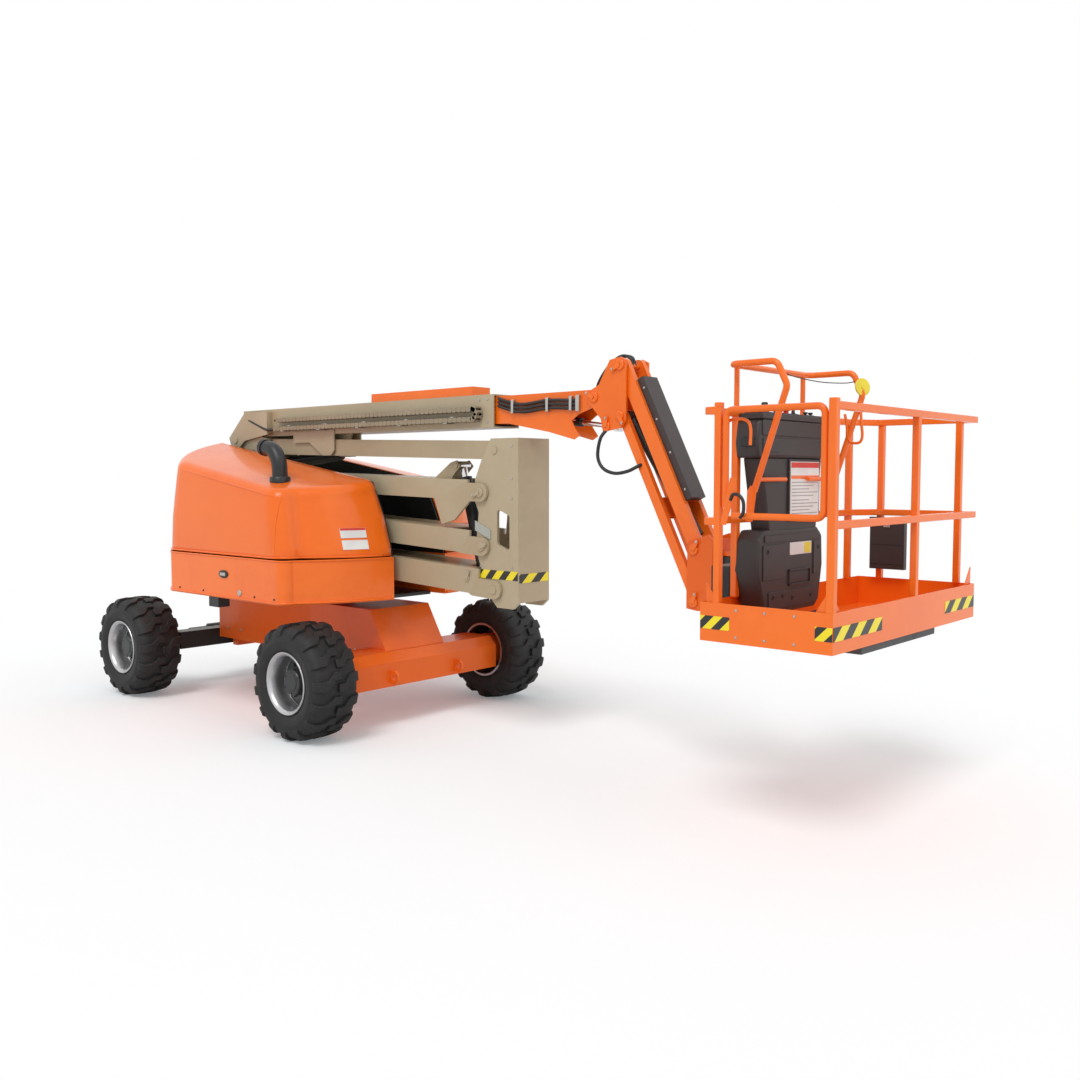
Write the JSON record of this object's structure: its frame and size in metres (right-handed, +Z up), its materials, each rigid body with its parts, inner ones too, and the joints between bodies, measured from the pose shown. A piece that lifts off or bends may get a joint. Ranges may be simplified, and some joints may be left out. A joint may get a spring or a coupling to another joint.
{
  "type": "articulating boom lift",
  "caption": "Self-propelled aerial work platform: four-wheel chassis, slewing turntable, folding parallelogram tower, telescopic boom, jib and railed platform.",
  "frame": {"origin": "on the ground at the middle of the whole stowed machine's length and width", "axes": "+X forward along the stowed boom to the platform, +Y to the machine's left, +Z up"},
  "size_m": [6.7854, 2.34, 2.622],
  "materials": {
    "orange": "gloss enamel",
    "tan": "satin enamel",
    "black": "satin black paint",
    "tyre": "matt",
    "rim": "silver paint",
    "steel": "cast",
    "rod": "polished",
    "plastic": "moulded"
  },
  "bodies": {
    "chassis": {"chassis_frame": "orange", "drive_axle": "orange", "tie_down_lugs": "orange", "steer_axle": "black", "steer_cylinder": "black", "slew_ring": "steel"},
    "knuckle_left": {"steer_knuckle_left": "black"},
    "knuckle_right": {"steer_knuckle_right": "black"},
    "wheel_front_left": {"tyre_front_left": "tyre", "rim_front_left": "rim"},
    "wheel_front_right": {"tyre_front_right": "tyre", "rim_front_right": "rim"},
    "wheel_rear_left": {"tyre_rear_left": "tyre", "rim_rear_left": "rim"},
    "wheel_rear_right": {"tyre_rear_right": "tyre", "rim_rear_right": "rim"},
    "turntable": {"turntable_deck": "black", "tower_pedestal": "tan", "counterweight": "steel", "power_units": "steel", "side_tubs": "orange", "bulkheads": "black"},
    "hood_left": {"hood_left": "orange"},
    "hood_right": {"hood_right": "orange"},
    "lower_arm": {"lower_arm": "tan"},
    "lower_link": {"lower_link": "tan"},
    "upright": {"tower_upright": "tan"},
    "upper_arm": {"upper_arm": "tan"},
    "upper_link": {"upper_link": "tan"},
    "post": {"boom_post": "tan"},
    "tower_barrel": {"tower_cylinder": "black"},
    "tower_rod": {"tower_rod": "rod"},
    "boom": {"boom_base": "tan", "boom_cover": "orange", "hose_carrier": "plastic"},
    "raise_barrel": {"raise_cylinder": "black"},
    "raise_rod": {"raise_rod": "rod"},
    "fly": {"fly_boom": "orange"},
    "boom_knuckle": {"boom_knuckle": "orange"},
    "level_barrel": {"level_cylinder": "black"},
    "level_rod": {"level_rod": "rod"},
    "jib": {"jib_arm": "orange", "jib_cover": "plastic"},
    "jib_lower_link": {"jib_link": "orange"},
    "jib_barrel": {"jib_cylinder": "black"},
    "jib_ram": {"jib_rod": "rod"},
    "platform_support": {"platform_bracket": "orange", "rotator": "black"},
    "platform": {"platform_mount": "orange", "platform_deck": "orange", "toe_boards": "orange", "platform_posts": "orange", "top_rail": "orange", "mid_rail": "orange", "guard_rail": "orange", "control_console": "plastic", "document_box": "plastic", "foot_switch": "orange"},
    "gate": {"platform_gate": "orange"}
  },
  "joints": [
    {"name": "steer_left", "type": "hinge", "parent": "chassis", "child": "knuckle_left", "pos_m": [-2.97375, 0.7, 0.419], "axis": [0, 0, 1], "range_deg": [-30, 30]},
    {"name": "steer_right", "type": "hinge", "parent": "chassis", "child": "knuckle_right", "pos_m": [-2.97375, -0.7, 0.419], "axis": [0, 0, 1], "range_deg": [-30, 30]},
    {"name": "roll_front_left", "type": "hinge", "parent": "chassis", "child": "wheel_front_left", "pos_m": [-0.59475, 0.984, 0.419], "axis": [0, 1, 0], "continuous": true},
    {"name": "roll_front_right", "type": "hinge", "parent": "chassis", "child": "wheel_front_right", "pos_m": [-0.59475, -0.984, 0.419], "axis": [0, 1, 0], "continuous": true},
    {"name": "roll_rear_left", "type": "hinge", "parent": "knuckle_left", "child": "wheel_rear_left", "pos_m": [-2.97375, 0.984, 0.419], "axis": [0, 1, 0], "continuous": true},
    {"name": "roll_rear_right", "type": "hinge", "parent": "knuckle_right", "child": "wheel_rear_right", "pos_m": [-2.97375, -0.984, 0.419], "axis": [0, 1, 0], "continuous": true},
    {"name": "slew", "type": "hinge", "parent": "chassis", "child": "turntable", "pos_m": [-1.78425, 0, 0.9], "axis": [0, 0, 1], "range_deg": [-177.5, 177.5]},
    {"name": "hood_left_lift", "type": "hinge", "parent": "turntable", "child": "hood_left", "pos_m": [-2.38425, 0.276, 2.12], "axis": [0.9877, 0, -0.1561], "range_deg": [0, 60]},
    {"name": "hood_right_lift", "type": "hinge", "parent": "turntable", "child": "hood_right", "pos_m": [-2.38425, -0.276, 2.12], "axis": [-0.9877, 0, 0.1561], "range_deg": [0, 60]},
    {"name": "tower_lift", "type": "hinge", "parent": "turntable", "child": "lower_arm", "pos_m": [-2.53425, 0, 1.229], "axis": [0, -1, 0], "range_deg": [0, 67]},
    {"name": "lower_link_swing", "type": "hinge", "parent": "turntable", "child": "lower_link", "pos_m": [-2.65225, 0, 1.526], "axis": [0, -1, 0], "range_deg": [0, 67]},
    {"name": "upright_level", "type": "hinge", "parent": "lower_arm", "child": "upright", "pos_m": [0.50275, 0, 1.081], "axis": [0, -1, 0], "range_deg": [-67, 0]},
    {"name": "upper_arm_lift", "type": "hinge", "parent": "upright", "child": "upper_arm", "pos_m": [0.37075, 0, 1.759], "axis": [0, -1, 0], "range_deg": [-67, 0]},
    {"name": "upper_link_swing", "type": "hinge", "parent": "upright", "child": "upper_link", "pos_m": [0.49075, 0, 2.055], "axis": [0, -1, 0], "range_deg": [-67, 0]},
    {"name": "post_level", "type": "hinge", "parent": "upper_arm", "child": "post", "pos_m": [-2.40425, 0, 1.832], "axis": [0, -1, 0], "range_deg": [0, 67]},
    {"name": "tower_barrel_swing", "type": "hinge", "parent": "lower_arm", "child": "tower_barrel", "pos_m": [0.24375, 0, 1.15], "axis": [0, -1, 0], "range_deg": [-86.01, 0]},
    {"name": "tower_rod_out", "type": "slide", "parent": "tower_barrel", "child": "tower_rod", "axis": [-0.2741, 0, 0.9617], "range_m": [0, 0.46099]},
    {"name": "boom_lift", "type": "hinge", "parent": "post", "child": "boom", "pos_m": [-2.68425, 0, 2.19], "axis": [0, -1, 0], "range_deg": [0, 74]},
    {"name": "raise_barrel_swing", "type": "hinge", "parent": "post", "child": "raise_barrel", "pos_m": [-2.48425, 0, 1.95], "axis": [0, -1, 0], "range_deg": [0, 73.36]},
    {"name": "raise_rod_out", "type": "slide", "parent": "raise_barrel", "child": "raise_rod", "axis": [0.9955, 0, 0.0952], "range_m": [0, 0.37582]},
    {"name": "fly_extend", "type": "slide", "parent": "boom", "child": "fly", "axis": [1, 0, 0], "range_m": [0, 1.75]},
    {"name": "knuckle_level", "type": "hinge", "parent": "fly", "child": "boom_knuckle", "pos_m": [1.34475, 0, 2.379], "axis": [0, -1, 0], "range_deg": [-74, 0]},
    {"name": "level_barrel_swing", "type": "hinge", "parent": "fly", "child": "level_barrel", "pos_m": [0.69575, 0, 2.29], "axis": [0, -1, 0], "range_deg": [0, 0.473]},
    {"name": "level_rod_in", "type": "slide", "parent": "level_barrel", "child": "level_rod", "axis": [0.9911, 0, -0.1331], "range_m": [-0.26018, 0]},
    {"name": "jib_lift", "type": "hinge", "parent": "boom_knuckle", "child": "jib", "pos_m": [1.55375, 0, 2.572], "axis": [0, -1, 0], "range_deg": [-6.3, 138.7]},
    {"name": "jib_link_swing", "type": "hinge", "parent": "boom_knuckle", "child": "jib_lower_link", "pos_m": [1.55375, 0, 2.254], "axis": [0, -1, 0], "range_deg": [-6.3, 138.7]},
    {"name": "support_level", "type": "hinge", "parent": "jib", "child": "platform_support", "pos_m": [2.11375, 0, 1.437], "axis": [0, -1, 0], "range_deg": [-138.7, 6.3]},
    {"name": "jib_barrel_swing", "type": "hinge", "parent": "boom_knuckle", "child": "jib_barrel", "pos_m": [1.55375, 0, 2.254], "axis": [0, -1, 0], "range_deg": [-6.08, 133.55]},
    {"name": "jib_rod_out", "type": "slide", "parent": "jib_barrel", "child": "jib_ram", "axis": [0.5654, 0, -0.8248], "range_m": [-0.02664, 0.5845]},
    {"name": "platform_turn", "type": "hinge", "parent": "platform_support", "child": "platform", "pos_m": [2.34575, 0, 1.29], "axis": [0, 0, 1], "range_deg": [-90, 90]},
    {"name": "gate_swing", "type": "hinge", "parent": "platform", "child": "gate", "pos_m": [2.79575, -0.881, 1.9], "axis": [0, 0, 1], "range_deg": [0, 40]}
  ],
  "couplings": [
    {"joint": "steer_right", "follows": "steer_left", "ratio": 1},
    {"joint": "lower_link_swing", "follows": "tower_lift", "ratio": 1},
    {"joint": "upright_level", "follows": "tower_lift", "ratio": -1},
    {"joint": "upper_arm_lift", "follows": "tower_lift", "ratio": -1},
    {"joint": "upper_link_swing", "follows": "tower_lift", "ratio": -1},
    {"joint": "post_level", "follows": "tower_lift", "ratio": 1},
    {"joint": "tower_barrel_swing", "follows": "tower_lift", "ratio": -1.2836},
    {"joint": "tower_rod_out", "follows": "tower_lift", "m_per_rad": 0.39414},
    {"joint": "raise_barrel_swing", "follows": "boom_lift", "ratio": 0.99118},
    {"joint": "raise_rod_out", "follows": "boom_lift", "m_per_rad": 0.29091},
    {"joint": "knuckle_level", "follows": "boom_lift", "ratio": -1},
    {"joint": "level_barrel_swing", "follows": "boom_lift", "ratio": 0.00626},
    {"joint": "level_rod_in", "follows": "boom_lift", "m_per_rad": -0.20137},
    {"joint": "jib_link_swing", "follows": "jib_lift", "ratio": 1},
    {"joint": "support_level", "follows": "jib_lift", "ratio": -1},
    {"joint": "jib_barrel_swing", "follows": "jib_lift", "ratio": 0.96277},
    {"joint": "jib_rod_out", "follows": "jib_lift", "m_per_rad": 0.24141}
  ]
}
